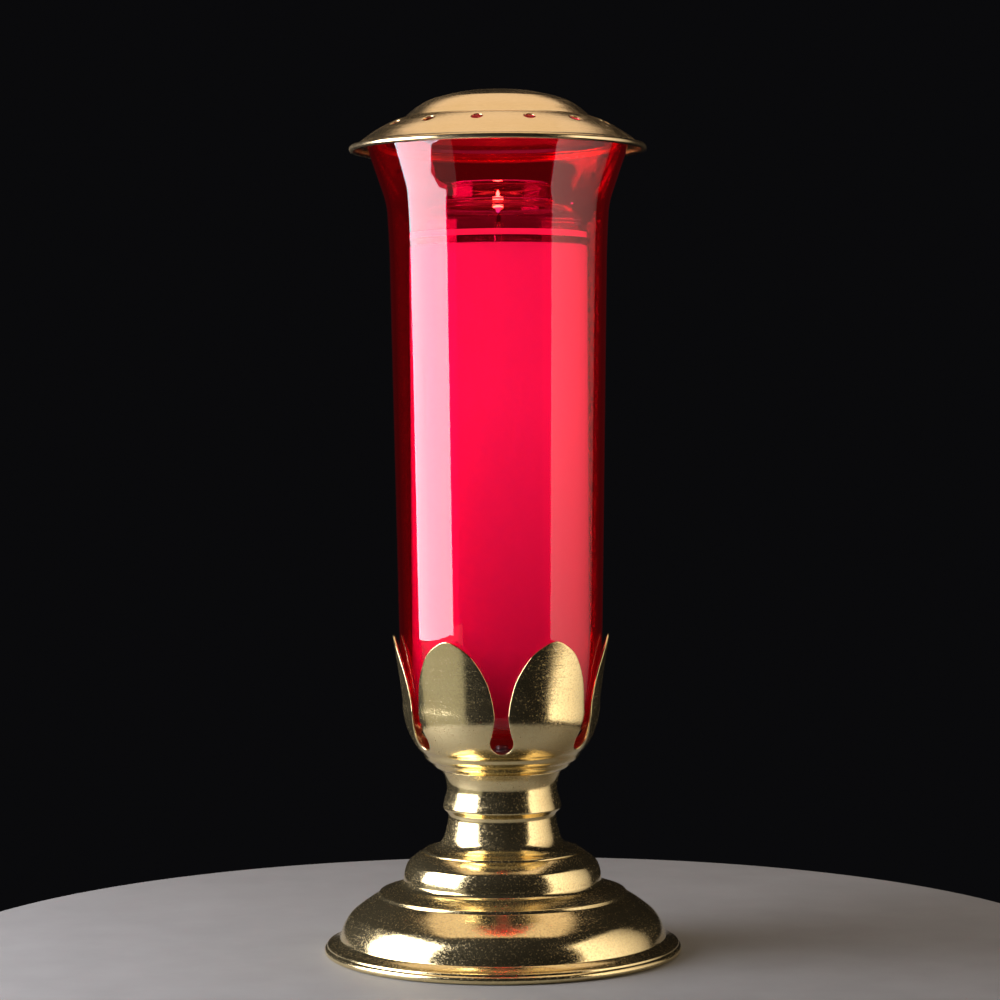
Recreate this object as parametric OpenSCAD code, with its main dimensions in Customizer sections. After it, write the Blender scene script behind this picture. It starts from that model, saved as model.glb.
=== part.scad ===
// Standing sanctuary lamp: a spun brass foot and stem carry a six-petal cup,
// which holds a ruby glass globe, a bottle candle and a pierced vent cap.
// Every outline is a list of [radius, height, bulge] rows. The bulge is the
// sagitta of the arc to the next row: positive swells out, negative hollows in.

/* [Foot] */
// Radius of the rolled rim that the lamp stands on
foot_r = 76.6; // [74:0.1:79]
// Height of the seam between foot and stem
foot_top = 43; // [41:0.1:44]
// Thickness of the spun brass sheet
sheet = 0.8; // [0.6:0.1:0.9]
// Thickness of the felt under the foot
felt_t = 1.6; // [1:0.1:2]

/* [Stem and cup] */
// Height of the seam between stem and cup
cup_seat = 78.4; // [77:0.1:80]
// Height of the petal tips
petal_top = 135.6; // [134:0.1:138]
// Thickness of the cup and its petals
cup_t = 1; // [0.8:0.1:1.2]
// Number of petals
petals = 6; // [4:1:8]
// Height of the middle of the round hole at the foot of each slit
slit_z = 93.4; // [92:0.1:95]
// Radius of that hole
slit_r = 4.9; // [4:0.1:5.5]
// Half width of the slit at its narrowest
slit_neck = 2.85; // [2:0.05:3.5]

/* [Globe] */
// Height of the rim of the glass globe
globe_top = 346.3; // [344:0.1:346.3]
// Height of the underside of the globe
globe_base = 94.3; // [93.5:0.1:95]
// Thickness of the glass
glass_t = 2; // [1.6:0.1:2.2]

/* [Candle] */
// Radius of the candle bottle
bottle_r = 38; // [36:0.1:38.2]
// Height of the bottle's mouth
bottle_top = 328.3; // [325:0.1:332]
// Radius of the bottle's neck
neck_r = 24; // [20:0.1:26]
// Thickness of the bottle's wall
bottle_t = 1.2; // [0.8:0.1:1.6]
// Height of the surface of the wax
wax_top = 307.1; // [200:0.1:308]
// Height of the tip of the wick
wick_top = 317; // [310:0.1:320]

/* [Cap] */
// Height of the crown of the cap
cap_top = 368.1; // [366:0.1:370]
// Radius of the roll along the cap's edge
cap_roll_r = 1.3; // [1.1:0.05:1.6]
// Number of vent holes
vents = 14; // [8:1:20]
// Radius of the circle of vent holes
vent_ring_r = 48.6; // [47:0.1:50]
// Radius of one vent hole
vent_r = 2.4; // [1.5:0.1:3]

/* [Fasteners] */
// Radius of the tie rod
rod_r = 3.1; // [2.5:0.1:3.5]
// Width of the nuts across their flats
nut_flats = 11; // [10:0.1:13]

/* [Hidden] */

$fn = 96;
arc_steps = 6;
rod_hole_r = rod_r + 0.4;
nut_h = 5.4;
washer_t = 1.5;
felt_r = foot_r - 4.2;
weight_r = 60;
weight_z = 3;         // underside of the weight
pocket_r = 15;        // pocket for the nut under the weight
pocket_top = 12;      // roof of that pocket
roll_r = 1.7;         // roll along the foot's rim

// ---- outlines ----

// Points of an arc from p towards q, without q itself; s is its sagitta
function bow(p, q, s) =
    let (d = q - p, half = norm(d) / 2, a = 2 * atan(s / half))
    let (u = d / norm(d), v = [-u.y, u.x], r = half / sin(a))
    [for (i = [0:arc_steps - 1])
        let (t = -a + 2 * a * i / arc_steps)
        p + u * (half + r * sin(t)) + v * (r * cos(t) - r * cos(a))];

// Turns [radius, height, bulge] rows into points
function chain(rows) = [
    for (i = [0:len(rows) - 1])
        let (p = [rows[i][0], rows[i][1]])
        each i == len(rows) - 1 || rows[i][2] == 0 ? [p]
            : bow(p, [rows[i + 1][0], rows[i + 1][1]], rows[i][2])
];

function unit(d) = d / norm(d);
function right_of(d) = [d.y, -d.x];

// The same line moved t to the right of its own direction
function moved(pts, t) = [
    for (i = [0:len(pts) - 1])
        let (a = i == 0 ? unit(pts[1] - pts[0]) : unit(pts[i] - pts[i - 1]))
        let (b = i == len(pts) - 1 ? a : unit(pts[i + 1] - pts[i]))
        pts[i] + t * right_of(a + b) / (1 + a * b)
];

function backwards(pts) = [for (i = [len(pts) - 1:-1:0]) pts[i]];

// Sheet metal of thickness t behind an outline
module spun(rows, t) {
    line = chain(rows);
    rotate_extrude()
        polygon(concat(line, backwards([for (p = moved(line, t)) [max(0, p.x), p.y]])));
}

// Solid of revolution under an outline that starts and ends on the axis
module turned(rows) {
    rotate_extrude() polygon(chain(rows));
}

module ring(r, z, thickness) {
    rotate_extrude() translate([r, z]) circle(r = thickness, $fn = 32);
}

module disc(r, z0, z1) {
    translate([0, 0, z0]) cylinder(r = r, h = z1 - z0);
}

module washer(r, z, t, hole = rod_hole_r) {
    difference() {
        disc(r, z, z + t);
        disc(hole, z - 1, z + t + 1);
    }
}

module nut(z) {
    difference() {
        intersection() {
            translate([0, 0, z]) cylinder(r = nut_flats / 2 / cos(30), h = nut_h, $fn = 6);
            // chamfered corners
            turned([
                [0, z, 0], [nut_flats / 2, z, 0], [nut_flats / 2 + 1, z + 0.7, 0],
                [nut_flats / 2 + 1, z + nut_h - 0.7, 0], [nut_flats / 2, z + nut_h, 0], [0, z + nut_h, 0]
            ]);
        }
        disc(rod_r, z - 1, z + nut_h + 1);
    }
}

// ---- foot ----

module base_shell() color("goldenrod") {
    z = foot_top;
    difference() {
        union() {
            spun([
                [3, z, 0],
                [34.4, z, 0.35],                // upper lobe
                [40.6, z - 4.6, 0.5],
                [42.3, z - 12, -0.4],           // ledge between the lobes
                [45, z - 14.3, -0.1],
                [52.8, z - 17, 0],
                [53.6, z - 18.4, 0.2],          // lower lobe
                [62.6, z - 24.4, 1.5],
                [69.7, z - 36.5, -0.3],         // flange
                [foot_r - 1.3, z - 38.8, 0],
                [foot_r - 1.3, roll_r, 0]
            ], sheet);
            ring(foot_r - roll_r, roll_r, roll_r);
        }
        disc(rod_hole_r, z - 5, z + 5);
    }
}

// Cast disc whose hub bears against the top of the shell
module base_weight() color("dimgray") {
    hub_top = foot_top - sheet;
    difference() {
        turned([
            [0, weight_z, 0], [weight_r - 1.5, weight_z, 0], [weight_r, weight_z + 1.5, 0],
            [weight_r, 13, 0], [weight_r - 2, 15, -1.2], [30, 22, -3],
            [16, hub_top - 2, 0], [14, hub_top, 0], [0, hub_top, 0]
        ]);
        disc(rod_hole_r, 0, hub_top + 1);
        disc(pocket_r, 0, pocket_top);
    }
}

module base_felt() color("darkgreen") {
    turned([
        [0, 0, 0], [felt_r - 0.4, 0, 0], [felt_r, 0.4, 0],
        [felt_r, felt_t, 0], [0, felt_t, 0]
    ]);
}

// ---- stem and cup ----

module stem_shell() color("goldenrod") {
    difference() {
        spun([
            [3, cup_seat, 0],
            [26, cup_seat, -0.8],               // cove under the cup
            [23.6, 69.2, 0],
            [25.3, 62.8, 0],                    // ridge
            [25.3, 61.7, 0],
            [23.4, 60, -0.2],                   // waist
            [23.1, 57, -0.15],
            [24.6, 50.4, -1.6],                 // flare down to the foot
            [32.4, foot_top + 1.2, 0.35],
            [34.2, foot_top - 0.4, 0]
        ], sheet);
        disc(40, foot_top - 3, foot_top);       // edge trimmed flat on the foot
        disc(rod_hole_r, cup_seat - 5, cup_seat + 5);
    }
}

// Half of one slit between two petals, from the round hole up to the tips
slit_side = [
    [slit_neck, 104.7, 0.4],
    [5.7, petal_top - 17.8, 0.45],
    [12.4, petal_top - 6.6, 0.35],
    [18.7, petal_top - 1.8, 0.3],
    [23.1, petal_top, 0],
    [23.1, petal_top + 6, 0]
];

function flipped(pts) = [for (p = pts) [-p.x, p.y]];

module slit() {
    side = chain(slit_side);
    opening_angle = 28;                         // from the hole's waist to the slit
    start = [slit_r * cos(opening_angle), slit_z + slit_r * sin(opening_angle)];
    throat = chain([[start.x, start.y, 0.2], [slit_neck, 104.7, 0]]);
    half = concat(throat, side);
    rotate([90, 0, 0]) linear_extrude(60) {
        translate([0, slit_z]) circle(r = slit_r, $fn = 48);
        polygon(concat(half, backwards(flipped(half))));
    }
}

module cup() color("gold") {
    difference() {
        spun([
            [46.5, petal_top + 0.4, -0.25],     // petals flare a little
            [42.2, 107.4, 1.9],                 // bowl
            [35.2, 87, -0.25],                  // cove above the rings
            [33.4, 84.8, 0.6],                  // upper ring
            [30, 81.6, 0.5],                    // lower ring
            [26.8, cup_seat + 0.3, 0],
            [26.6, cup_seat, 0],
            [3, cup_seat, 0]
        ], cup_t);
        disc(rod_hole_r, cup_seat - 5, cup_seat + 5);
        for (i = [0:petals - 1]) rotate(i * 360 / petals) slit();
    }
}

// ---- fasteners on the tie rod ----

cup_floor = cup_seat + cup_t;

module tie_rod() color("silver") {
    top = cup_floor + washer_t + nut_h + 2;
    turned([
        [0, felt_t + 0.4, 0], [rod_r - 0.5, felt_t + 0.4, 0], [rod_r, felt_t + 0.9, 0],
        [rod_r, top - 0.5, 0], [rod_r - 0.5, top, 0], [0, top, 0]
    ]);
}

module cup_washer() color("silver") washer(12, cup_floor, washer_t);
module cup_nut() color("silver") nut(cup_floor + washer_t);
module base_washer() color("silver") washer(11, pocket_top - washer_t, washer_t);

// Split spring washer
module lock_washer() color("gray") {
    t = 1.4;
    z = pocket_top - washer_t - t;
    difference() {
        washer(5.6, z, t);
        translate([0, 0, z - 1]) rotate(20) translate([0, -0.5, 0]) cube([8, 1, t + 2]);
    }
}

module base_nut() color("silver") nut(pocket_top - washer_t - 1.4 - nut_h);

// ---- globe ----

module globe() color("crimson") {
    rim_r = 56;
    shoulder_z = 140;
    outer = [
        [0, globe_base, 0],
        [30, globe_base, -2.9],                 // rounded foot of the glass
        [40.2, globe_base + 10.2, -0.5],
        [43.5, shoulder_z, 0],
        [46.3, 300, 0],
        [47, 314.5, 0.45],                      // turns outwards
        [49.3, 325.5, 0],
        [rim_r, globe_top - 1, -0.5]
    ];
    outside = chain(outer);
    rotate_extrude()
        polygon(concat(outside, backwards(moved(outside, -glass_t))));
}

// ---- candle ----

bottle_base = globe_base + glass_t + 1;

module candle_bottle() color([0.95, 0.95, 0.95, 0.5]) {
    z = bottle_base;
    outer = [
        [0, z, 0],
        [27, z, -3.1],
        [bottle_r, z + 11, 0],
        [bottle_r, 311, -2.4],                  // shoulder
        [neck_r + 1.5, 319.6, 0],
        [neck_r, 320.6, 0],
        [neck_r, bottle_top - 1.2, 0],
        [neck_r + 0.8, bottle_top - 0.8, 0],
        [neck_r + 0.8, bottle_top, 0]
    ];
    outside = chain(outer);
    rotate_extrude()
        polygon(concat(outside, backwards(moved(outside, -bottle_t))));
}

module wax() color("white") {
    skin = bottle_t + 0.1;
    r = bottle_r - skin;
    z = bottle_base + skin;
    difference() {
        turned([[0, z, 0], [26.6, z, -2.8], [r, z + 10, 0], [r, wax_top, 0], [0, wax_top, 0]]);
        disc(1.4, z - 1, wax_top + 1);
        disc(8.4, z - 1, z + 1.4);
    }
}

module wick() color("ivory") {
    z = bottle_base + bottle_t + 0.7;
    turned([[0, z, 0], [1.2, z, 0], [1.2, wick_top - 1, 0.2], [0.5, wick_top, 0], [0, wick_top, 0]]);
}

// Tin disc that holds the wick upright
module wick_tab() color("silver") {
    z = bottle_base + bottle_t + 0.1;
    difference() {
        union() {
            disc(8, z, z + 0.5);
            disc(1.39, z, z + 4);
        }
        disc(1.21, z + 0.55, z + 5);
    }
}

// ---- cap ----

module cap() color("goldenrod") {
    z = cap_top;
    roll_centre = 61.9;
    vent_z = 352.6;
    vent_tilt = 30;
    difference() {
        union() {
            spun([
                [0, z, 1.15],                   // crown
                [29.2, z - 4.6, 0.6],
                [39.8, z - 12.2, -0.25],        // groove
                [43.6, z - 13.2, 0.6],          // skirt
                [58.4, z - 22.1, -0.15],
                [61.7, z - 23.8, 0]
            ], sheet);
            ring(roll_centre, z - 25, cap_roll_r);
        }
        for (i = [0:vents - 1])
            rotate(-100 + i * 360 / vents) translate([vent_ring_r, 0, vent_z])
                rotate([0, vent_tilt, 0]) translate([0, 0, -4]) cylinder(r = vent_r, h = 8, $fn = 32);
    }
}

base_shell();
base_weight();
base_felt();
stem_shell();
cup();
tie_rod();
cup_washer();
cup_nut();
base_washer();
lock_washer();
base_nut();
globe();
candle_bottle();
wax();
wick();
wick_tab();
cap();
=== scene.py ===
"""Looks of the sanctuary lamp: camera, light, lathe-turned pieces and their materials."""
import math
import random

import bmesh
import bpy
import numpy as np
from mathutils import Matrix, Vector


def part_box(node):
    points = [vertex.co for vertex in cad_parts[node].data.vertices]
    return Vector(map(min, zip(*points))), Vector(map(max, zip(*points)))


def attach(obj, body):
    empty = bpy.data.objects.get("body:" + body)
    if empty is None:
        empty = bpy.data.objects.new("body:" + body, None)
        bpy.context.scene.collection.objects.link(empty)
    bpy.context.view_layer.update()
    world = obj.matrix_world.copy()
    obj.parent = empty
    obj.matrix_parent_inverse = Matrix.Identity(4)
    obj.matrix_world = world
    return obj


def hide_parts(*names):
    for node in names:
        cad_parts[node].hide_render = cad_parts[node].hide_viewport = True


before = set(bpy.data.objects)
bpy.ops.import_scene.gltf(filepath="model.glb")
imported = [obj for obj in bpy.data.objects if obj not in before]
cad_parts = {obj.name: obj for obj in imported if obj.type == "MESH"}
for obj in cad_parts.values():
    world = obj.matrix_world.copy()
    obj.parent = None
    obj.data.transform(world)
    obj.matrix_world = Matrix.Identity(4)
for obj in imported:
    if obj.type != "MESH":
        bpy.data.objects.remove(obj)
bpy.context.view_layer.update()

MM = 0.001

# ---- camera ----

CAMERA_DISTANCE = 1.234
CAMERA_HEIGHT = 0.234
CAMERA_PITCH = math.radians(-1.88)
CAMERA_ROLL = math.radians(-0.4)
LENS = 104.0
SENSOR_WIDTH = 36


def add_camera():
    data = bpy.data.cameras.new("camera")
    data.lens = LENS
    data.sensor_width = SENSOR_WIDTH
    camera = bpy.data.objects.new("camera", data)
    bpy.context.scene.collection.objects.link(camera)
    tilt = Matrix.Rotation(math.radians(90) + CAMERA_PITCH, 4, "X")
    roll = Matrix.Rotation(CAMERA_ROLL, 4, "Z")
    place = Matrix.Translation((0, -CAMERA_DISTANCE, CAMERA_HEIGHT))
    camera.matrix_world = place @ tilt @ roll
    bpy.context.scene.camera = camera


add_camera()

# ---- outlines, in millimetres ----

FINE = 0.1  # spacing of an outline's points before they are thinned out
EASING_REACH = 3  # how many times its radius the easing of a crease reaches
COLUMNS = 168  # divisions round a turned piece; a multiple of the petals and of the vents


def bow(p, q, sagitta):
    """Points of an arc from p towards q, without q. A positive sagitta swells to the left."""
    half = np.linalg.norm(q - p) / 2
    along = (q - p) / (2 * half)
    across = np.array([-along[1], along[0]])
    count = max(2, int(2 * half / FINE))
    share = np.arange(count) / count
    if sagitta == 0:
        return p + np.outer(share, q - p)
    turn = 2 * math.atan(sagitta / half)
    radius = half / math.sin(turn)
    t = -turn + 2 * turn * share
    sideways = radius * (np.cos(t) - math.cos(turn))
    return p + np.outer(half + radius * np.sin(t), along) + np.outer(sideways, across)


def outline(rows):
    """Closely spaced points through [radius, height, bulge] rows.

    A row's bulge is the sagitta of the arc to the next row. A positive one swells outwards where
    the rows run down, and a negative one where they run up.
    """
    ends = [np.array(row[:2], float) for row in rows]
    parts = [bow(ends[i], ends[i + 1], rows[i][2]) for i in range(len(rows) - 1)]
    return np.vstack(parts + [ends[-1:]])


def lengths(points):
    """The distance along the line at each of its points."""
    steps = np.linalg.norm(np.diff(points, axis=0), axis=1)
    return np.concatenate([[0], np.cumsum(steps)])


def even(points, step=FINE):
    """The same line with its points a fixed step apart."""
    s = lengths(points)
    at = np.linspace(0, s[-1], max(3, int(round(s[-1] / step)) + 1))
    return np.column_stack([np.interp(at, s, points[:, k]) for k in range(points.shape[1])])


def softened(points, radius):
    """The line with its creases eased over about that radius. Its ends stay in place."""
    points = even(points)
    reach = min(int(EASING_REACH * radius / FINE), len(points) - 2)
    if reach < 1:
        return points
    offsets = np.arange(-reach, reach + 1) * FINE
    weights = np.exp(-0.5 * (offsets / radius) ** 2)
    weights /= weights.sum()
    before = 2 * points[0] - points[reach:0:-1]
    after = 2 * points[-1] - points[-2:-reach - 2:-1]
    long = np.vstack([before, points, after])
    return np.column_stack([np.convolve(long[:, k], weights, "valid") for k in range(2)])


def tangents(points):
    """The line's direction at each of its points, one long."""
    d = np.gradient(points, axis=0)
    return d / np.linalg.norm(d, axis=1)[:, None]


def right_of(directions):
    """The directions turned a quarter to the right."""
    return np.column_stack([directions[:, 1], -directions[:, 0]])


def thinned(points, turn=4.0, longest=4.0, start=0, stop=None):
    """Indices of the points that the line's bends need."""
    stop = len(points) - 1 if stop is None else stop
    heading = np.unwrap(np.arctan2(*tangents(points).T[::-1]))
    s = lengths(points)
    kept = [start]
    for i in range(start + 1, stop):
        bent = abs(heading[i] - heading[kept[-1]]) >= math.radians(turn)
        if bent or s[i] - s[kept[-1]] >= longest:
            kept.append(i)
    return kept + [stop]


class Sheet:
    """Metal sheet behind an outline: an outside and an inside line that share one measure."""

    def __init__(self, rows, thickness, crease=0.3, inner_crease=1.0):
        line = outline(rows)
        self.outside = softened(line, crease)
        back = softened(line, inner_crease)
        self.inside = back + thickness * right_of(tangents(back))
        self.inside[:, 0] = np.maximum(self.inside[:, 0], 0)
        if rows[0][0] == 0:
            self.inside[0, 0] = 0
        count = len(self.outside)
        self.s = np.arange(count) * lengths(self.outside)[-1] / (count - 1)

    def place(self, s, depth):
        """Radius and height at measure s; depth is 0 outside and 1 inside."""
        out = [np.interp(s, self.s, self.outside[:, k]) for k in range(2)]
        back = [np.interp(s, self.s, self.inside[:, k]) for k in range(2)]
        return [o + depth * (b - o) for o, b in zip(out, back)]

    def at_radius(self, radius):
        """The measure where the outside line comes nearest to that radius."""
        return self.s[int(np.argmin(np.abs(self.outside[:, 0] - radius)))]


# ---- meshes ----

WELD = 2e-7  # metres within which points become one


class Shape:
    """Points in millimetres and the faces between them."""

    def __init__(self):
        self.points = []
        self.faces = []

    def grid(self, rows, closed=False):
        """Faces between rows of points; closed joins each row's end to its start."""
        start = len(self.points)
        width = len(rows[0])
        for row in rows:
            self.points.extend(row)
        for i in range(len(rows) - 1):
            for j in range(width if closed else width - 1):
                a = start + i * width + j
                b = start + i * width + (j + 1) % width
                self.faces.append((a, b, b + width, a + width))
        return self

    def revolve(self, line, columns=COLUMNS, first_angle=0.0):
        """Faces that a line of (radius, height) points sweeps round the axis."""
        angles = first_angle + np.arange(columns) * 2 * math.pi / columns
        ring = np.column_stack([np.cos(angles), np.sin(angles)])
        rows = [[(r * c, r * s, z) for c, s in ring] for r, z in line]
        return self.grid(rows, closed=True)

    def mesh(self, name):
        mesh = bpy.data.meshes.new(name)
        mesh.from_pydata([tuple(c * MM for c in p) for p in self.points], [], self.faces)
        work = bmesh.new()
        work.from_mesh(mesh)
        bmesh.ops.remove_doubles(work, verts=work.verts, dist=WELD)
        bmesh.ops.recalc_face_normals(work, faces=work.faces)
        work.to_mesh(mesh)
        work.free()
        mesh.polygons.foreach_set("use_smooth", [True] * len(mesh.polygons))
        return mesh


def piece(name, shape, paint, body, slot, *nodes):
    """A visible piece that stands for CAD nodes and moves with their body."""
    obj = bpy.data.objects.new(name, shape.mesh(name))
    bpy.context.scene.collection.objects.link(obj)
    obj.data.materials.append(paint)
    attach(obj, body)
    if nodes:
        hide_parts(*nodes)


def loop(*parts, crease=0.25):
    """One softened closed line through several stretches, ready to be revolved."""
    line = np.vstack(parts)
    middle = (line[0] + line[-1]) / 2
    soft = softened(np.vstack([middle, line, middle]), crease)
    return soft[thinned(soft)]


# ---- materials ----


class Paint:
    """A material whose nodes are added and joined by short calls."""

    def __init__(self, name):
        self.material = bpy.data.materials.new(name)
        self.material.use_nodes = True
        self.tree = self.material.node_tree
        self.shader = self.tree.nodes["Principled BSDF"]
        self.output = self.tree.nodes["Material Output"]

    def add(self, kind, inputs=None, **settings):
        node = self.tree.nodes.new("ShaderNode" + kind)
        for key, value in settings.items():
            setattr(node, key, value)
        for key, value in (inputs or {}).items():
            self.feed(node, key, value)
        return node

    def feed(self, node, key, value):
        if isinstance(value, bpy.types.NodeSocket):
            self.tree.links.new(value, node.inputs[key])
        else:
            node.inputs[key].default_value = value

    def set(self, **values):
        """Sets or links the shader's own sockets; an underscore stands for a space."""
        for key, value in values.items():
            self.feed(self.shader, key.replace("_", " "), value)

    def math(self, operation, a, b=0.0):
        return self.add("Math", {0: a, 1: b}, operation=operation).outputs[0]

    def sum(self, first, *others):
        for other in others:
            first = self.math("ADD", first, other)
        return first

    def place(self):
        """Coordinates on the object, in metres."""
        return self.add("TexCoord").outputs["Object"]

    def height(self):
        return self.add("SeparateXYZ", {"Vector": self.place()}).outputs["Z"]

    def noise(self, vector, scale, detail=2.0, roughness=0.5, distortion=0.0):
        inputs = {"Vector": vector, "Scale": scale, "Detail": detail,
                  "Roughness": roughness, "Distortion": distortion}
        return self.add("TexNoise", inputs).outputs["Fac"]

    def spread(self, value, low, high, to_low=0.0, to_high=1.0):
        """The value carried from the range low to high over to another range, and held there."""
        inputs = {"Value": value, "From Min": low, "From Max": high,
                  "To Min": to_low, "To Max": to_high}
        return self.add("MapRange", inputs).outputs["Result"]

    def blend(self, amount, first, second):
        """A colour from first to second as the amount goes from 0 to 1."""
        node = self.add("Mix", {"Factor": amount}, data_type="RGBA")
        self.feed(node, 6, first)
        self.feed(node, 7, second)
        return node.outputs[2]

    def bump(self, height, distance, strength=1.0, under=None):
        """A normal for that relief, on top of the normal under it."""
        inputs = {"Height": height, "Distance": distance, "Strength": strength}
        node = self.add("Bump", inputs)
        if under is not None:
            self.feed(node, "Normal", under)
        return node.outputs["Normal"]

    def turned_place(self, twist):
        """Coordinates that hardly change round the axis, so that noise runs in rings."""
        parts = self.add("SeparateXYZ", {"Vector": self.place()})
        x, y, z = (parts.outputs[k] for k in range(3))
        squares = [self.math("MULTIPLY", part, part) for part in (x, y)]
        radius = self.math("SQRT", self.sum(*squares))
        angle = self.math("MULTIPLY", self.math("ARCTAN2", y, x), twist)
        return self.add("CombineXYZ", {"X": radius, "Y": z, "Z": angle}).outputs["Vector"]


BRASS = (0.89, 0.755, 0.40, 1)
BRASS_DEEP = (0.80, 0.60, 0.27, 1)
BRASS_ROSY = (0.88, 0.70, 0.42, 1)
BRASS_BROWN = (0.52, 0.33, 0.15, 1)
SAND_SCALE = 1350
RUBY_TINT = (0.991, 0.0, 0.57, 1)
RUBY_DENSITY = 1850.0
RUBY_GLOW = 0.016
FLAME_STRENGTH = 150.0


def brass_paint(name, roughness, tarnish, turning, grain, clean=BRASS):
    """Spun and polished brass: fine turning rings, sandy grain, smudges and brown tarnish.

    Turning sets how deep the rings are, and grain how rough and brown the sandy pits are.
    """
    p = Paint(name)
    rings = p.noise(p.turned_place(0.0008), 900, 5, 0.75)
    bands = p.noise(p.turned_place(0.0004), 160, 3, 0.6)
    cloud = p.noise(p.place(), 38, 4, 0.6, 0.3)
    specks = p.noise(p.place(), 900, 3, 0.6)
    sand = p.noise(p.place(), SAND_SCALE, 3, 0.7)
    tone = p.blend(p.spread(cloud, 0.35, 0.75, 0.0, 0.45), clean, BRASS_DEEP)
    tone = p.blend(p.spread(bands, 0.5, 0.85, 0.0, 0.4), tone, BRASS_DEEP)
    dirty = p.spread(cloud, 0.5, 0.7, 0.0, tarnish)
    spots = p.math("MULTIPLY", p.spread(specks, 0.66, 0.78), dirty)
    tone = p.blend(spots, tone, BRASS_BROWN)
    tone = p.blend(p.spread(sand, 0.44, 0.66, 0.0, 2 * grain), tone, BRASS_BROWN)
    smudge = p.spread(p.noise(p.place(), 70, 5, 0.65, 0.8), 0.4, 0.7, 0.0, 0.07)
    fine = p.spread(rings, 0.3, 0.7, -0.035, 0.045)
    pits = p.spread(sand, 0.48, 0.66, 0.0, grain)
    rough = p.sum(smudge, fine, pits, roughness)
    normal = p.bump(rings, 0.00004, 0.35 * turning)
    normal = p.bump(bands, 0.00012, 0.25 * turning, normal)
    normal = p.bump(sand, 0.00006, 0.35, normal)
    p.set(Base_Color=tone, Metallic=0.97, Roughness=rough, Normal=normal, Anisotropic=0.45)
    p.set(Tangent=p.add("Tangent", direction_type="RADIAL", axis="Z").outputs["Tangent"])
    return p.material


def ruby_paint():
    """Ruby glass: clear surface with faint draw waves, coloured by its depth.

    A faint glow stands for the light that wanders inside the glass.
    """
    p = Paint("ruby_glass")
    waves = p.noise(p.turned_place(0.02), 60, 2, 0.5)
    dust = p.noise(p.place(), 420, 4, 0.7)
    film = p.noise(p.place(), 24, 4, 0.6, 0.5)
    rough = p.sum(p.spread(dust, 0.62, 0.8, 0.0, 0.05), p.spread(film, 0.45, 0.75, 0.0, 0.02))
    p.set(Base_Color=(1, 1, 1, 1), Roughness=rough, IOR=1.5, Transmission_Weight=1.0)
    p.set(Normal=p.bump(waves, 0.0002, 0.25))
    p.set(Emission_Color=(1, 0.02, 0.04, 1), Emission_Strength=RUBY_GLOW)
    depth = p.add("VolumeAbsorption", {"Color": RUBY_TINT, "Density": RUBY_DENSITY})
    p.tree.links.new(depth.outputs[0], p.output.inputs["Volume"])
    return p.material


def bottle_paint():
    """Clear moulded bottle with slight waviness and scuffs."""
    p = Paint("bottle_clear")
    waves = p.noise(p.place(), 45, 2, 0.5)
    scuffs = p.spread(p.noise(p.turned_place(0.004), 500, 4, 0.7), 0.6, 0.8, 0.0, 0.12)
    p.set(Base_Color=(0.97, 0.98, 0.98, 1), Roughness=scuffs, IOR=1.5, Transmission_Weight=1.0)
    p.set(Normal=p.bump(waves, 0.0003, 0.3))
    return p.material


def wax_paint(low, high):
    """White paraffin, cloudy and mottled, between two heights in metres.

    Its glow is painted light standing for the flame's light that sinks in from above: it fades on
    the way down, and over the last stretch above the cup it fades again as painted shade of the
    cup.
    """
    # metres above the wax's bottom below which the glow dims as painted shade of the cup
    cup_shade_reach = 0.033
    p = Paint("wax_white")
    z = p.height()
    cloud = p.noise(p.place(), 60, 5, 0.6, 0.4)
    frost = p.noise(p.place(), 420, 4, 0.65)
    tone = p.blend(p.spread(cloud, 0.35, 0.7), (0.97, 0.955, 0.92, 1), (0.94, 0.92, 0.87, 1))
    p.set(Base_Color=tone, Roughness=p.spread(frost, 0.3, 0.7, 0.3, 0.5), IOR=1.43)
    p.set(Subsurface_Weight=1.0, Subsurface_Radius=(1.0, 0.85, 0.7), Subsurface_Scale=0.014)
    # painted light: the flame's glow, fading downward and dimmed near the bottom as painted shade
    # of the cup
    glow = p.math("MULTIPLY", p.spread(z, low, (low + 2 * high) / 3, 0.14, 0.68),
                  p.spread(z, low, low + cup_shade_reach, 0.05, 1.0))
    p.set(Emission_Color=(1, 0.28, 0.34, 1), Emission_Strength=glow)
    p.set(Normal=p.bump(frost, 0.0001, 0.3, p.bump(cloud, 0.0006, 0.3)))
    return p.material


def melt_paint():
    """Melted paraffin round the wick: clear, with a few fine swirls."""
    p = Paint("wax_melted")
    swirl = p.noise(p.place(), 90, 3, 0.5, 1.2)
    p.set(Base_Color=(0.98, 0.97, 0.93, 1), Roughness=p.spread(swirl, 0.5, 0.8, 0.0, 0.06))
    p.set(IOR=1.43, Transmission_Weight=1.0, Normal=p.bump(swirl, 0.0002, 0.2))
    return p.material


def wick_paint(burnt_from, burnt_to):
    """Braided cotton, waxed below and charred to the tip."""
    p = Paint("wick_cotton")
    z = p.height()
    fibre = p.noise(p.place(), 2600, 4, 0.7)
    ragged = p.sum(z, p.spread(fibre, 0.3, 0.7, -0.0006, 0.0006))
    char = p.spread(ragged, burnt_from, burnt_to)
    cotton = p.blend(fibre, (0.78, 0.72, 0.58, 1), (0.5, 0.42, 0.3, 1))
    p.set(Base_Color=p.blend(char, cotton, (0.012, 0.01, 0.009, 1)), Roughness=0.85)
    p.set(Normal=p.bump(fibre, 0.0002, 0.6))
    return p.material


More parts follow.
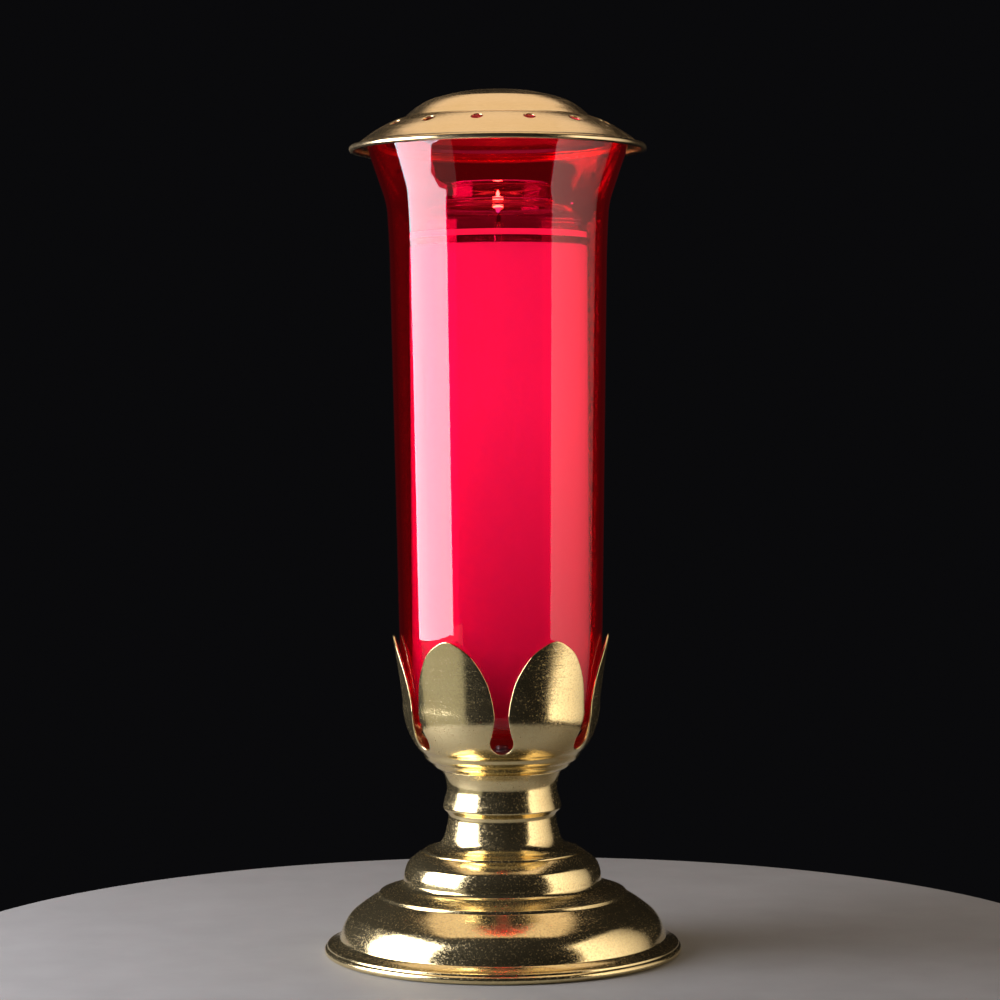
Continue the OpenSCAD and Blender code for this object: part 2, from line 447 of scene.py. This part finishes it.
def flame_paint(low, high):
    """A still flame: dark blue foot, yellow heart, amber tip, between two heights in metres."""
    p = Paint("flame_light")
    z = p.height()
    flicker = p.noise(p.place(), 260, 2, 0.5)
    share = p.sum(p.spread(z, low, high), p.spread(flicker, 0.3, 0.7, -0.05, 0.05))
    ramp = p.add("ValToRGB", {"Fac": share})
    bar = ramp.color_ramp
    bar.elements[0].position = 0.0
    bar.elements[0].color = (0.003, 0.004, 0.008, 1)
    bar.elements[1].position = 1.0
    bar.elements[1].color = (1.0, 0.7, 0.08, 1)
    for position, color in ((0.34, (0.02, 0.012, 0.006, 1)), (0.5, (1.0, 1.0, 0.08, 1))):
        bar.elements.new(position).color = color
    p.set(Base_Color=(0, 0, 0, 1), Roughness=1.0, Emission_Color=ramp.outputs["Color"])
    p.set(Emission_Strength=FLAME_STRENGTH)
    return p.material


def steel_paint(name, tone, roughness):
    """Zinc-plated steel with machining marks and dull patches."""
    p = Paint(name)
    marks = p.noise(p.turned_place(0.001), 1100, 4, 0.7)
    patches = p.noise(p.place(), 140, 4, 0.6)
    darker = tuple(c * 0.62 for c in tone[:3]) + (1,)
    p.set(Base_Color=p.blend(p.spread(patches, 0.4, 0.7), tone, darker), Metallic=1.0)
    p.set(Roughness=p.spread(patches, 0.35, 0.7, roughness, roughness + 0.18))
    p.set(Normal=p.bump(marks, 0.00005, 0.5))
    return p.material


def iron_paint():
    """Rough cast iron with a thin black coat."""
    p = Paint("cast_iron")
    grain = p.noise(p.place(), 700, 6, 0.7)
    pits = p.noise(p.place(), 160, 4, 0.6)
    tone = p.blend(p.spread(pits, 0.4, 0.7), (0.035, 0.034, 0.033, 1), (0.09, 0.06, 0.045, 1))
    p.set(Base_Color=tone, Metallic=0.3, Roughness=p.spread(grain, 0.3, 0.7, 0.55, 0.85))
    p.set(Normal=p.bump(grain, 0.0003, 0.8, p.bump(pits, 0.0008, 0.6)))
    return p.material


def felt_paint():
    """Dark green pressed felt with matted fibres."""
    p = Paint("felt_green")
    matted = p.noise(p.place(), 900, 6, 0.75, 1.5)
    worn = p.noise(p.place(), 30, 4, 0.6)
    tone = p.blend(p.spread(matted, 0.3, 0.7), (0.012, 0.05, 0.025, 1), (0.03, 0.11, 0.055, 1))
    tone = p.blend(p.spread(worn, 0.5, 0.8, 0.0, 0.5), tone, (0.05, 0.1, 0.07, 1))
    p.set(Base_Color=tone, Roughness=0.95, Sheen_Weight=0.4, Sheen_Roughness=0.5)
    p.set(Normal=p.bump(matted, 0.0006, 0.9))
    return p.material


# ---- sizes from the frame, in millimetres ----


def low(node, axis="z"):
    return getattr(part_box(node)[0], axis) / MM


def high(node, axis="z"):
    return getattr(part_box(node)[1], axis) / MM


SHEET = 0.8
BOLT_HOLE = 3.5
EDGE = 0.3  # rounding of cut edges
foot_radius = high("base_shell", "x")
foot_top = high("base_shell")
cup_seat = high("stem_shell")
petal_top = high("cup")


def arc(centre, radius, start, end):
    """Points of a circle's arc, with the angles in degrees."""
    count = max(8, int(abs(math.radians(end - start)) * radius / FINE))
    t = np.radians(np.linspace(start, end, count))
    return np.column_stack([centre[0] + radius * np.cos(t), centre[1] + radius * np.sin(t)])


def whole(sheet, *edge):
    """A sheet's closed line: outside, then whatever edges it, then back along the inside."""
    return loop(sheet.outside, *edge, sheet.inside[::-1], crease=0.2)


def rounded_lip(thickness, steps):
    """(offset from the edge, depth) pairs that round a cut edge on both sides of the sheet."""
    turns = [math.radians(90 * i / steps) for i in range(steps + 1)]
    lip = [(EDGE * (1 - math.sin(t)), EDGE * (1 - math.cos(t)) / thickness) for t in turns]
    return lip + [(offset, 1 - depth) for offset, depth in lip[::-1]]


# ---- foot and stem ----

SEAM = 0.05  # gap between the stem's lower edge and the foot


def make_foot(paint):
    z = foot_top
    roll = 1.7
    wall = foot_radius - 1.3
    side = Sheet([
        [BOLT_HOLE, z, 0],
        [34.4, z, 0.35],
        [40.6, z - 4.6, 0.5],
        [42.3, z - 12, -0.4],
        [45, z - 14.3, -0.1],
        [52.8, z - 17, 0],
        [53.6, z - 18.4, 0.2],
        [62.6, z - 24.4, 1.5],
        [69.7, z - 36.5, -0.3],
        [wall, z - 38.8, 0],
        [wall, 2 * roll, 0],
    ], SHEET, crease=0.2)
    bead = arc((foot_radius - roll, roll), roll, 76, 104 - 360)
    shape = Shape().revolve(whole(side, bead))
    piece("spun_foot", shape, paint, "stand", "brass", "base_shell")


def make_stem(paint):
    side = Sheet([
        [BOLT_HOLE, cup_seat, 0],
        [26, cup_seat, -0.8],
        [23.6, cup_seat - 9.2, 0],
        [25.3, cup_seat - 15.6, 0],
        [25.3, cup_seat - 16.7, 0],
        [23.4, cup_seat - 18.4, -0.2],
        [23.1, cup_seat - 21.4, -0.15],
        [24.6, cup_seat - 28, -1.6],
        [32.4, foot_top + 1.2, 0.35],
        [34, foot_top + SEAM, 0],
    ], SHEET, crease=0.2)
    side.inside[:, 1] = np.maximum(side.inside[:, 1], foot_top + SEAM)
    piece("spun_stem", Shape().revolve(whole(side)), paint, "stand", "brass", "stem_shell")


# ---- cup with its petals ----

PETALS = 6
CUP_SHEET = 1.0
HOLE_RADIUS = 4.9
HOLE_HEIGHT = 15  # from the cup's seat to the middle of a slit's round hole
HOLE_END = 28  # degrees above level where the slit's side leaves the round hole
THROAT_HALF = 2.85
THROAT_HEIGHT = 11.3  # from the middle of the hole to the slit's narrowest place


def petal_edge(cup, hole_z):
    """Half of a petal's edge as (distance round the cup from its middle line, measure along it).

    It runs from the bottom of the round hole up to the petal's tip.
    """
    throat_z = hole_z + THROAT_HEIGHT
    turn = np.radians(np.arange(-90, HOLE_END, 1.0))
    circle = np.column_stack([HOLE_RADIUS * np.cos(turn), hole_z + HOLE_RADIUS * np.sin(turn)])
    end = math.radians(HOLE_END)
    side = outline([
        [HOLE_RADIUS * math.cos(end), hole_z + HOLE_RADIUS * math.sin(end), 0.2],
        [THROAT_HALF, throat_z, 0.4],
        [5.7, petal_top - 17.8, 0.45],
        [12.4, petal_top - 6.6, 0.35],
        [18.7, petal_top - 1.8, 0.3],
        [23.1, petal_top, 0],
    ])
    slit = even(np.vstack([circle, side]))
    outer = cup.outside[:, ::-1]
    order = np.argsort(outer[:, 0])
    radius = np.interp(slit[:, 1], outer[order, 0], outer[order, 1])
    measure = np.interp(slit[:, 1], outer[order, 0], cup.s[order])
    angle = math.pi / PETALS - np.arcsin(np.clip(slit[:, 0] / radius, 0, 1))
    half = np.column_stack([np.maximum(radius * angle, 0), measure])
    mirrored = (half * [-1, 1])[::-1]
    both = softened(np.vstack([half, mirrored[1:]]), 0.45)
    half = both[: len(both) // 2 + 1]
    half[-1, 0] = 0
    return half


def make_cup(paint):
    cup = Sheet([
        [46.5, petal_top + 0.4, -0.25],
        [42.2, cup_seat + 29, 1.9],
        [35.2, cup_seat + 8.6, -0.25],
        [33.4, cup_seat + 6.4, 0.6],
        [30, cup_seat + 3.2, 0.5],
        [26.8, cup_seat + 0.3, 0],
        [26.6, cup_seat, 0],
        [BOLT_HOLE, cup_seat, 0],
    ], CUP_SHEET, crease=0.25, inner_crease=1.2)
    edge = petal_edge(cup, cup_seat + HOLE_HEIGHT)
    inward = right_of(tangents(edge))
    rows = thinned(edge, turn=6, longest=1.4)
    columns = COLUMNS // PETALS
    shares = np.linspace(-1, 1, columns + 1)
    lip = rounded_lip(CUP_SHEET, 4)
    shape = Shape()

    def spot(middle, around, measure, depth):
        radius, height = cup.place(measure, depth)
        angle = middle + around / cup.place(measure, 0)[0]
        return radius * math.cos(angle), radius * math.sin(angle), height

    def rim(row, offset):
        """The edge point moved onto the petal by offset."""
        around, measure = edge[row] + offset * inward[row]
        if row == rows[0]:
            around = cup.place(measure, 0)[0] * math.pi / PETALS
        return max(0.0, around), measure

    for k in range(PETALS):
        middle = (k + 0.5) * 2 * math.pi / PETALS - math.pi / 2
        for depth in (0, 1):
            grid = []
            for row in rows:
                around, measure = rim(row, EDGE)
                grid.append([spot(middle, around * share, measure, depth) for share in shares])
            shape.grid(grid)
        for side in (-1, 1):
            strip = []
            for row in rows:
                strip.append([spot(middle, side * rim(row, offset)[0], rim(row, offset)[1], depth)
                              for offset, depth in lip])
            shape.grid(strip)
    root = rim(rows[0], EDGE)[1]
    kept = thinned(cup.outside, start=int(np.searchsorted(cup.s, root)) + 3)
    bowl = [[cup.place(root, 0)], cup.outside[kept], cup.inside[kept][::-1], [cup.place(root, 1)]]
    shape.revolve(np.vstack(bowl))
    piece("petal_cup", shape, paint, "stand", "brass", "cup")


# ---- globe ----


def vessel(sheet, rim_bulge, crease=0.2):
    """Closed line of a glass vessel, from the axis round its rim and back to the axis."""
    rim = bow(sheet.outside[-1], sheet.inside[-1], rim_bulge)
    line = softened(np.vstack([sheet.outside, rim[1:], sheet.inside[::-1]]), crease)
    line[0, 0] = line[-1, 0] = 0
    return line[thinned(line, turn=4, longest=6)]


def make_globe(paint):
    base = low("globe")
    top = high("globe")
    wall = Sheet([
        [0, base, 0],
        [30, base, -2.9],
        [40.2, base + 10.2, -0.5],
        [43.5, base + 45.7, 0],
        [46.3, base + 205.7, 0],
        [47, base + 220.2, 0.45],
        [49.3, base + 231.2, 0],
        [high("globe", "x") - 0.1, top - 1.1, 0],
    ], -2.0, crease=1.2, inner_crease=2.0)
    shape = Shape().revolve(vessel(wall, -0.8))
    piece("ruby_globe", shape, paint, "globe", "ruby_glass", "globe")


# ---- candle ----

MELT_DEPTH = 5.6  # from the wax's highest edge down to the solid
FILM_HEIGHT = 2.5
WICK_BORE = 1.45
CHAR_START = 9  # below the wick's tip
CHAR_FULL = 5
FLAME_FOOT = 0.2  # below the wick's tip
FLAME_REACH = 9.8  # above the wick's tip, where the flame's colours end


def make_bottle(paint):
    base = low("candle_bottle")
    top = high("candle_bottle")
    radius = high("candle_bottle", "x")
    neck = radius - 14
    wall = Sheet([
        [0, base + 2.2, -0.4],
        [21, base + 0.4, 0.3],
        [27, base, -3.1],
        [radius, base + 11, 0],
        [radius, top - 17.3, -2.4],
        [neck + 2.4, top - 9.6, -0.35],
        [neck + 1.7, top - 8.4, -0.3],
        [neck + 0.2, top - 7.6, 0],
        [neck, top - 7, 0],
        [neck, top - 1.6, -0.3],
        [neck + 0.8, top - 0.5, 0],
    ], -1.2, crease=0.25, inner_crease=1.0)
    shape = Shape().revolve(vessel(wall, -0.45))
    piece("clear_bottle", shape, paint, "candle", "bottle", "candle_bottle")


def make_wax(solid_paint, clear_paint):
    """Solid wax, the melted pool on it, and the film that the sinking pool leaves on the glass."""
    base = low("wax")
    top = high("wax")
    surface = top - FILM_HEIGHT
    radius = high("wax", "x") + 0.3
    bore = WICK_BORE
    shelf = top - MELT_DEPTH
    solid = loop(outline([
        [bore, base, 0],
        [26.6, base, -2.8],
        [radius, base + 10, 0],
        [radius, shelf, 0.2],
        [radius - 5, shelf - 0.5, 0],
        [7, shelf - 0.3, 0.2],
        [bore, shelf - 0.9, 0],
    ]), crease=0.4)
    melt = loop(outline([
        [bore, shelf - 0.75, 0],
        [7, shelf - 0.15, 0],
        [radius - 5, shelf - 0.35, 0],
        [radius, shelf + 0.2, 0],
        [radius, surface, 0.12],
        [radius - 2.4, surface - 0.55, 0],
        [bore + 1.6, surface - 0.55, 0.1],
        [bore, surface, 0],
    ]), crease=0.15)
    film = loop(outline([
        [radius - 0.55, surface + 0.05, 0],
        [radius, surface + 0.05, 0],
        [radius, top, 0],
        [radius - 0.45, top, 0],
    ]), crease=0.1)
    piece("wax_block", Shape().revolve(solid), solid_paint, "candle", "wax", "wax")
    piece("wax_pool", Shape().revolve(melt), clear_paint, "candle", "wax")
    piece("wax_film", Shape().revolve(film), solid_paint, "candle", "wax")


def make_wick(paint):
    """Three strands twisted round each other, bent a little at the burnt end."""
    base = low("wick")
    top = high("wick") - 0.4
    strands = 3
    sides = 8
    lay = 6.5
    ring_step = 0.6
    thick = 0.6
    twist_radius = 0.56
    bent_length = 9
    heights = np.linspace(base, top, int((top - base) / ring_step))
    shape = Shape()
    for k in range(strands):
        rows = []
        for z in heights:
            end = max(0.0, 1 - (top - z) / bent_length)
            size = thick * (1 - 0.45 * end * end)
            angle = 2 * math.pi * (z / lay + k / strands)
            lean = 0.5 * end * end
            x = twist_radius * math.cos(angle) + lean
            y = twist_radius * math.sin(angle)
            turns = [2 * math.pi * j / sides for j in range(sides)]
            rows.append([(x + size * math.cos(t), y + size * math.sin(t), z) for t in turns])
        for end, z in ((0, base), (-1, top)):
            middle = tuple(sum(p[axis] for p in rows[end]) / sides for axis in range(3))
            cap = [middle] * sides
            rows = [cap] + rows if end == 0 else rows + [cap]
        shape.grid(rows, closed=True)
    piece("braided_wick", shape, paint, "candle", "wick", "wick")


def make_flame(paint):
    foot = high("wick") - FLAME_FOOT
    line = softened(outline([
        [0, foot, -0.2],
        [0.9, foot + 1.4, 0.1],
        [1.3, foot + 3.0, 0.1],
        [2.3, foot + 4.0, -0.25],
        [1.6, foot + 6.4, -0.12],
        [0, foot + 9.0, 0],
    ]), 0.25)
    shape = Shape().revolve(line[thinned(line, turn=6, longest=0.5)], columns=40)
    piece("flame", shape, paint, "candle", "flame")


# ---- vent cap ----

VENTS = 14
VENT_RADIUS = 2.4
VENT_CIRCLE = 48.6
FIRST_VENT = math.radians(-100)
VENT_BAND = 4.6  # from the circle of vents to either edge of the band that holds them
BAND_STEPS = 10
VENT_RINGS = 6
RING_CROWDING = 1.3  # above 1 the rings of faces stand closer near the hole


def frame_points(columns, rows):
    """Points round a square from -1 to 1, with that many steps along each side."""
    across = [2 * i / columns - 1 for i in range(columns)]
    along = [2 * i / rows - 1 for i in range(rows)]
    points = [(u, -1) for u in across] + [(1, v) for v in along]
    return points + [(-u, 1) for u in across] + [(-1, -v) for v in along]


def make_cap(paint):
    z = high("cap")
    roll = 1.3
    roll_at = (high("cap", "x") - roll, low("cap") + roll)
    cap = Sheet([
        [0, z, 1.15],
        [29.2, z - 4.6, 0.6],
        [39.8, z - 12.2, -0.25],
        [43.6, z - 13.2, 0.6],
        [58.4, z - 22.1, -0.15],
        [61.6, z - 23.75, 0],
    ], SHEET, crease=0.25, inner_crease=1.0)
    columns = COLUMNS // VENTS
    sector = 2 * math.pi / VENTS
    middle = cap.at_radius(VENT_CIRCLE)
    upper, lower = middle - VENT_BAND, middle + VENT_BAND
    half_width = VENT_CIRCLE * sector / 2
    border = frame_points(columns, BAND_STEPS)
    lip = rounded_lip(SHEET, 3)
    shape = Shape()

    def spot(k, around, measure, depth):
        radius, height = cap.place(measure, depth)
        angle = FIRST_VENT + k * sector + around
        return radius * math.cos(angle), radius * math.sin(angle), height

    def hole_point(u, v, radius):
        """The point of the round hole that lies towards the border's point (u, v)."""
        u, v = u * half_width, v * VENT_BAND
        size = math.hypot(u, v)
        across, along = radius * u / size, radius * v / size
        measure = middle + along
        return across / cap.place(measure, 0)[0], measure

    for k in range(VENTS):
        for depth in (0, 1):
            grid = []
            for ring in range(VENT_RINGS + 1):
                share = (ring / VENT_RINGS) ** RING_CROWDING
                row = []
                for u, v in border:
                    near = hole_point(u, v, VENT_RADIUS + EDGE)
                    far = (u * sector / 2, middle + v * VENT_BAND)
                    row.append(spot(k, *[n + share * (f - n) for n, f in zip(near, far)], depth))
                grid.append(row)
            shape.grid(grid, closed=True)
        strip = []
        for offset, depth in lip:
            strip.append([spot(k, *hole_point(u, v, VENT_RADIUS + offset), depth)
                          for u, v in border])
        shape.grid(strip, closed=True)
    first = FIRST_VENT - sector / 2
    for side, depth in ((cap.outside, 0), (cap.inside, 1)):
        stop = int(np.searchsorted(cap.s, upper)) - 2
        crown = np.vstack([side[thinned(side, stop=stop)], [cap.place(upper, depth)]])
        shape.revolve(crown, first_angle=first)
    start = int(np.searchsorted(cap.s, lower)) + 2
    bead = arc(roll_at, roll, 108, 128 - 360)
    skirt = softened(np.vstack([[cap.place(lower, 0)], cap.outside[start:], bead,
                                cap.inside[start:][::-1], [cap.place(lower, 1)]]), 0.15)
    shape.revolve(skirt[thinned(skirt)], first_angle=first)
    piece("vent_cap", shape, paint, "cap", "brass", "cap")


# ---- tie rod and hidden fasteners ----


def make_rod(paint):
    """Threaded rod with a rounded vee thread of 1 mm pitch."""
    base = low("tie_rod")
    top = high("tie_rod")
    crest = high("tie_rod", "x")
    pitch = 1.0
    depth = 0.45
    chamfer = 0.6
    columns = 24
    heights = np.arange(base, top, pitch / 6)
    rows = [[(0, 0, base)] * columns]
    for z in heights:
        taper = min(chamfer, z - base, top - z)
        row = []
        for j in range(columns):
            phase = (z / pitch - j / columns) % 1.0
            cut = depth * (0.5 + 0.5 * math.cos(2 * math.pi * phase)) ** 1.5
            radius = min(crest - cut, crest - chamfer + taper)
            angle = 2 * math.pi * j / columns
            row.append((radius * math.cos(angle), radius * math.sin(angle), z))
        rows.append(row)
    rows.append([(0, 0, top - 0.05)] * columns)
    shape = Shape().grid(rows, closed=True)
    piece("threaded_rod", shape, paint, "stand", "steel", "tie_rod")


def make_felt(paint):
    """Felt disc whose matted underside rises and falls by up to a tenth of a millimetre."""
    random.seed(11)
    radius = high("base_felt", "x")
    top = high("base_felt")
    bottom = 0.12
    relief = 0.1
    underside = 0.6  # below this height the points rise and fall
    line = loop(outline([
        [0.2, bottom, 0],
        [radius - 0.5, bottom, -0.15],
        [radius, 0.7, 0],
        [radius, top - 0.3, 0],
        [radius - 0.3, top, 0],
        [0.2, top, 0],
    ]), crease=0.2)
    shape = Shape().revolve(line)
    shape.points = [(x, y, z + (random.uniform(-relief, relief) if z < underside else 0))
                    for x, y, z in shape.points]
    piece("felt_pad", shape, paint, "stand", "felt", "base_felt")


SHARP_EDGE = math.radians(40)


def finish_cad_node(node, paint, rounding):
    """A CAD node that stays: it gets its material, and a modifier rounds its edges slightly."""
    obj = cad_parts[node]
    obj.data.materials.clear()
    obj.data.materials.append(paint)
    bevel = obj.modifiers.new("rounded edges", "BEVEL")
    bevel.width = rounding * MM
    bevel.segments = 2
    bevel.limit_method = "ANGLE"
    bevel.angle_limit = SHARP_EDGE
    bevel.use_clamp_overlap = True
    obj.data.polygons.foreach_set("use_smooth", [False] * len(obj.data.polygons))


foot_brass = brass_paint("brass_spun", roughness=0.08, tarnish=0.35, turning=1.3, grain=0.19)
cup_brass = brass_paint("brass_cup", roughness=0.09, tarnish=0.25, turning=1.0, grain=0.16)
cap_brass = brass_paint("brass_cap", roughness=0.16, tarnish=0.5, turning=3.4, grain=0.05,
                        clean=BRASS_ROSY)
zinc = steel_paint("steel_zinc", (0.62, 0.63, 0.66, 1), 0.28)
spring_steel = steel_paint("steel_spring", (0.3, 0.3, 0.32, 1), 0.35)
tin = steel_paint("tin_plate", (0.72, 0.71, 0.68, 1), 0.22)

make_foot(foot_brass)
make_stem(foot_brass)
make_cup(cup_brass)
make_cap(cap_brass)
make_globe(ruby_paint())
make_bottle(bottle_paint())
make_wax(wax_paint(low("wax") * MM, high("wax") * MM), melt_paint())
wick_tip = high("wick")
make_wick(wick_paint((wick_tip - CHAR_START) * MM, (wick_tip - CHAR_FULL) * MM))
make_flame(flame_paint((wick_tip - FLAME_FOOT) * MM, (wick_tip + FLAME_REACH) * MM))
make_rod(zinc)
make_felt(felt_paint())
finish_cad_node("base_weight", iron_paint(), 0.6)
for node in ("cup_washer", "cup_nut", "base_washer", "base_nut"):
    finish_cad_node(node, zinc, 0.2)
finish_cad_node("lock_washer", spring_steel, 0.15)
finish_cad_node("wick_tab", tin, 0.1)

# ---- floor and light ----

FLOOR_RADIUS = 260  # millimetres
FLOOR_TOP = -0.02  # just under the felt
FLOOR_BOTTOM = -20
FLOOR_CHAMFER = 4


def make_floor():
    p = Paint("floor_pale")
    grain = p.noise(p.place(), 30, 4, 0.6)
    tone = p.blend(p.spread(grain, 0.3, 0.7), (0.25, 0.25, 0.24, 1), (0.28, 0.28, 0.27, 1))
    p.set(Base_Color=tone, Roughness=0.6)
    p.set(Normal=p.bump(p.noise(p.place(), 300, 4, 0.6), 0.0002, 0.2))
    shape = Shape()
    shape.revolve([
        (0, FLOOR_TOP),
        (FLOOR_RADIUS - FLOOR_CHAMFER, FLOOR_TOP),
        (FLOOR_RADIUS, -FLOOR_CHAMFER),
        (FLOOR_RADIUS, FLOOR_BOTTOM),
        (0, FLOOR_BOTTOM),
    ], columns=128)
    mesh = shape.mesh("floor")
    mesh.polygons.foreach_set("use_smooth", [False] * len(mesh.polygons))
    floor = bpy.data.objects.new("floor", mesh)
    bpy.context.scene.collection.objects.link(floor)
    floor.data.materials.append(p.material)


def panel(name, size, radiance, color):
    """A rectangular light that the camera doesn't see. It shines down until it is turned."""
    data = bpy.data.lights.new(name, "AREA")
    data.shape = "RECTANGLE"
    data.size, data.size_y = size
    data.energy = radiance * math.pi * size[0] * size[1]
    data.color = color
    light = bpy.data.objects.new(name, data)
    bpy.context.scene.collection.objects.link(light)
    light.visible_camera = False
    return light


def fade_sideways(data, ends):
    """The light's strength runs evenly from one side edge to the other, between those shares."""
    data.use_nodes = True
    nodes = data.node_tree.nodes
    place = nodes.new("ShaderNodeNewGeometry")
    parts = nodes.new("ShaderNodeSeparateXYZ")
    share = nodes.new("ShaderNodeMapRange")
    share.inputs["To Min"].default_value, share.inputs["To Max"].default_value = ends
    links = data.node_tree.links
    links.new(place.outputs["Parametric"], parts.inputs[0])
    links.new(parts.outputs["X"], share.inputs["Value"])
    links.new(share.outputs["Result"], nodes["Emission"].inputs["Strength"])


def softbox(name, around, distance, middle, size, radiance, color, fade=None):
    """A soft light turned that many degrees from the camera's side, level and facing the lamp."""
    light = panel(name, size, radiance, color)
    angle = math.radians(around)
    spot = Vector((math.sin(angle) * distance, -math.cos(angle) * distance, middle))
    aim = Vector((0, 0, middle)) - spot
    facing = aim.to_track_quat("-Z", "Y").to_matrix().to_4x4()
    light.matrix_world = Matrix.Translation(spot) @ facing
    if fade:
        fade_sideways(light.data, fade)


make_floor()
softbox("left_softbox", around=-78, distance=0.6, middle=0.345, size=(0.553, 0.59),
        radiance=10.0, color=(1, 0.99, 1.1))
softbox("low_fill", around=-72, distance=0.9, middle=-0.3, size=(1.0, 0.66),
        radiance=0.37, color=(1, 0.97, 0.86))
softbox("right_softbox", around=89, distance=0.9, middle=0.35, size=(1.15, 1.15),
        radiance=1.1, color=(1, 0.86, 0.74), fade=(1.9, 0.2))
overhead = panel("ceiling_light", size=(1.2, 1.28), radiance=0.95, color=(1, 0.77, 0.57))
overhead.location = (-0.03, 0.49, 1.3)

world = bpy.data.worlds.new("studio")
world.use_nodes = True
world.node_tree.nodes["Background"].inputs["Color"].default_value = (0.003, 0.003, 0.0035, 1)
bpy.context.scene.world = world
bpy.context.scene.view_settings.view_transform = "Standard"
